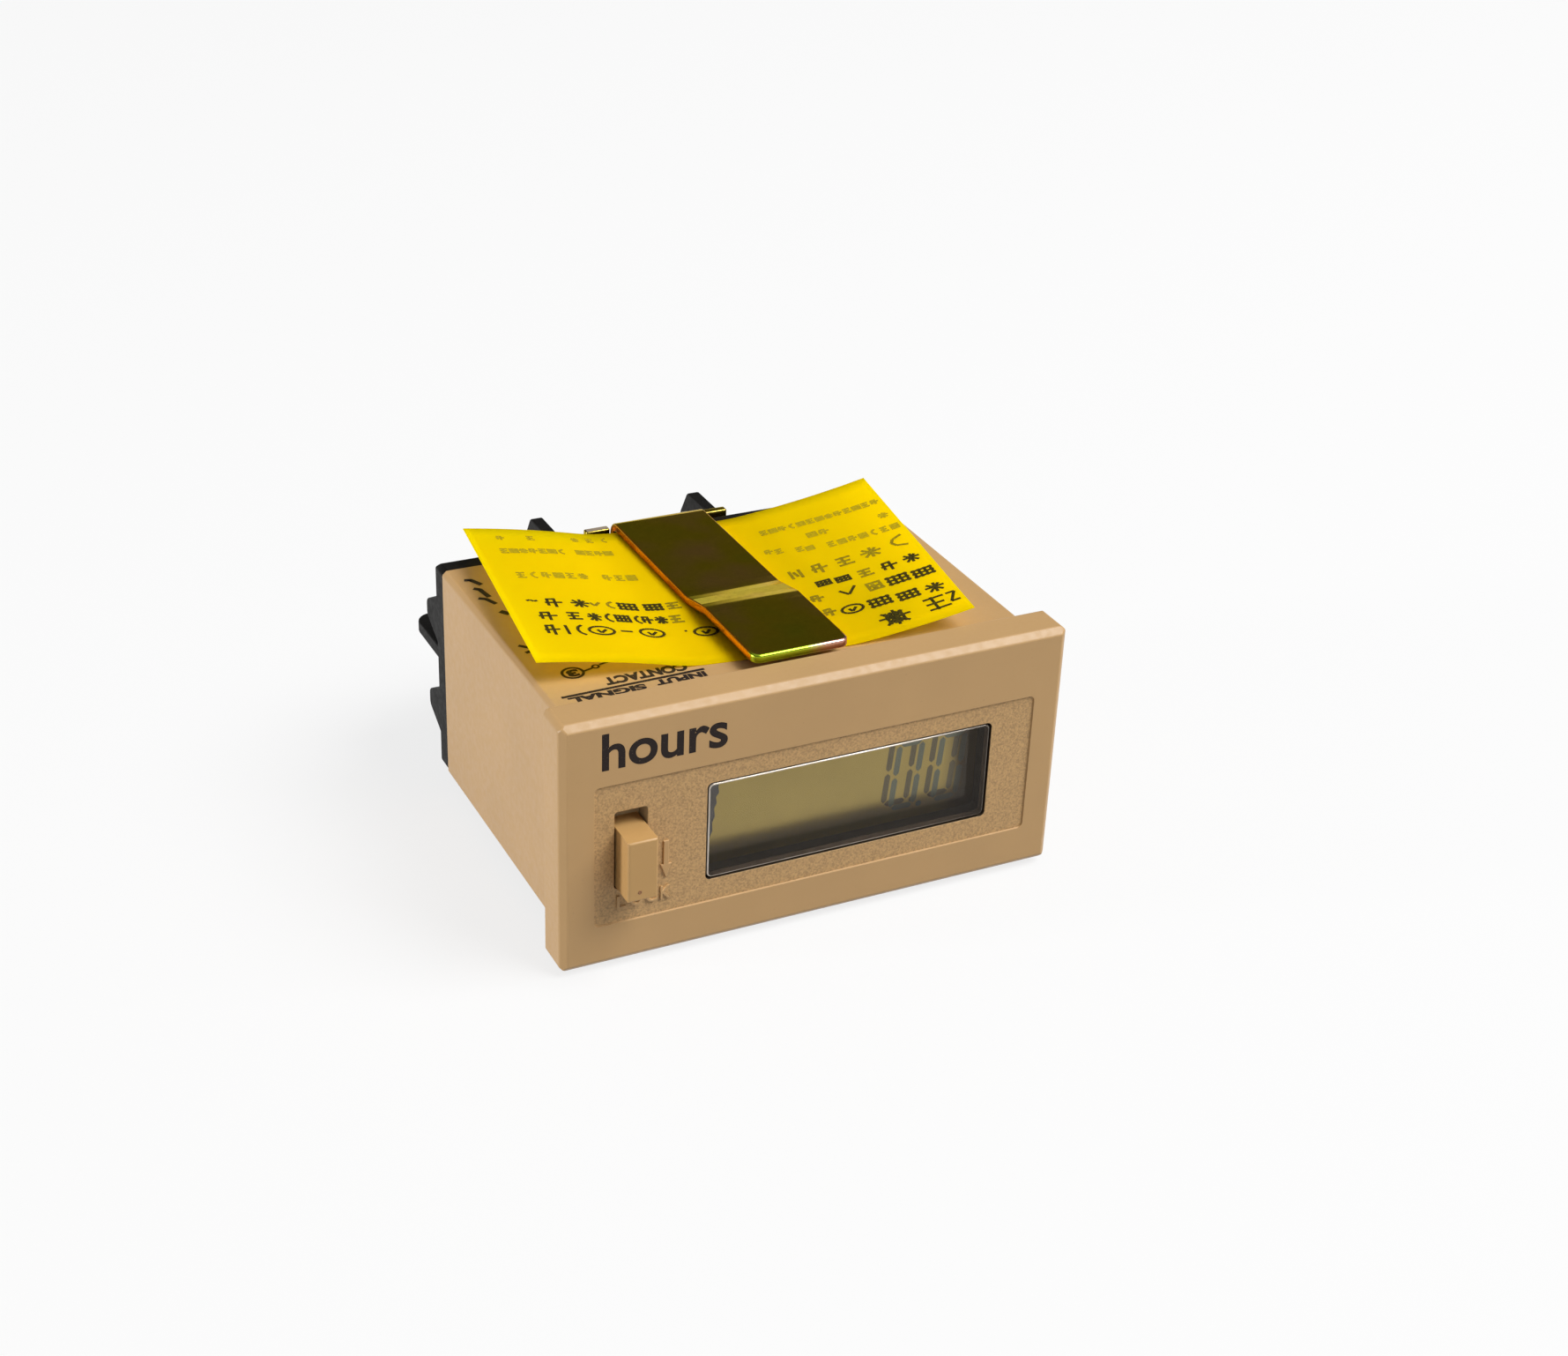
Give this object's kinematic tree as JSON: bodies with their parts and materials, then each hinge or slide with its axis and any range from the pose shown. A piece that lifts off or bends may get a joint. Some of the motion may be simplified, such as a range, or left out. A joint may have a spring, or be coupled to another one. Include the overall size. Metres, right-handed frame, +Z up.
{
  "type": "hour meter",
  "caption": "Panel-mount hour meter: tan moulded case with an LCD window, a sliding reset key, rear screw terminals, a sprung clamp bracket and a paper slip held under it.",
  "frame": {"origin": "centre of the panel's front face, where the rear face of the bezel seats", "axes": "+X to the right as the display is read, +Y to the rear, +Z up"},
  "size_m": [0.048, 0.0501, 0.0263],
  "materials": {
    "case_tan": "fine spark grain on the front panel, satin elsewhere",
    "window_clear": "clear, polished",
    "key_tan": "satin",
    "inner_black": "satin",
    "spring_steel": "bright drawn wire",
    "holder_black": "satin",
    "lcd_glass": "grey green reflective display",
    "contact_rubber": "layered silicone rubber",
    "board_green": "solder mask on glass epoxy",
    "chip_black": "moulded epoxy",
    "can_steel": "nickel plated",
    "capacitor_brown": "fired ceramic",
    "tab_nickel": "nickel strip",
    "pin_brass": "tinned",
    "resistor_body": "lacquered",
    "capacitor_sleeve": "shrunk film sleeve",
    "block_black": "satin thermosetting moulding",
    "terminal_brass": "tin plated",
    "washer_steel": "zinc plated",
    "screw_steel": "zinc plated",
    "bracket_zinc": "yellow chromate on zinc, smooth",
    "slip_paper": "uncoated coloured paper with black print"
  },
  "bodies": {
    "housing": {"case": "case_tan", "display_window": "window_clear", "lcd_holder": "holder_black", "lcd_cell": "lcd_glass", "upper_contact_strip": "contact_rubber", "lower_contact_strip": "contact_rubber", "display_board": "board_green", "reset_switch": "chip_black", "counter_chip": "chip_black", "quartz_crystal": "can_steel", "chip_capacitors": "capacitor_brown", "battery_cell": "can_steel", "battery_positive_tab": "tab_nickel", "battery_negative_tab": "tab_nickel", "board_link_pins": "pin_brass", "input_board": "board_green", "photocoupler": "chip_black", "input_resistors": "resistor_body", "smoothing_capacitor": "capacitor_sleeve", "terminal_block": "block_black", "terminal_plate_1": "terminal_brass", "terminal_plate_2": "terminal_brass", "terminal_plate_3": "terminal_brass", "terminal_plate_4": "terminal_brass", "clamp_washers": "washer_steel", "terminal_screws": "screw_steel", "instruction_slip": "slip_paper"},
    "carriage": {"key_carriage": "inner_black", "key_spring": "spring_steel"},
    "key": {"reset_key": "key_tan"},
    "bracket": {"mounting_bracket": "bracket_zinc"}
  },
  "joints": [
    {"name": "lock_slide", "type": "slide", "parent": "housing", "child": "carriage", "axis": [0, 0, 1], "range_m": [0, 0.00145]},
    {"name": "reset_press", "type": "slide", "parent": "carriage", "child": "key", "axis": [0, 1, 0], "range_m": [0, 0.0008], "stiffness_N_per_m": 600, "springref_m": -0.0005, "deforming": ["key_spring"]},
    {"name": "bracket_slide", "type": "slide", "parent": "housing", "child": "bracket", "axis": [0, 1, 0], "range_m": [0, 0.0045]}
  ]
}
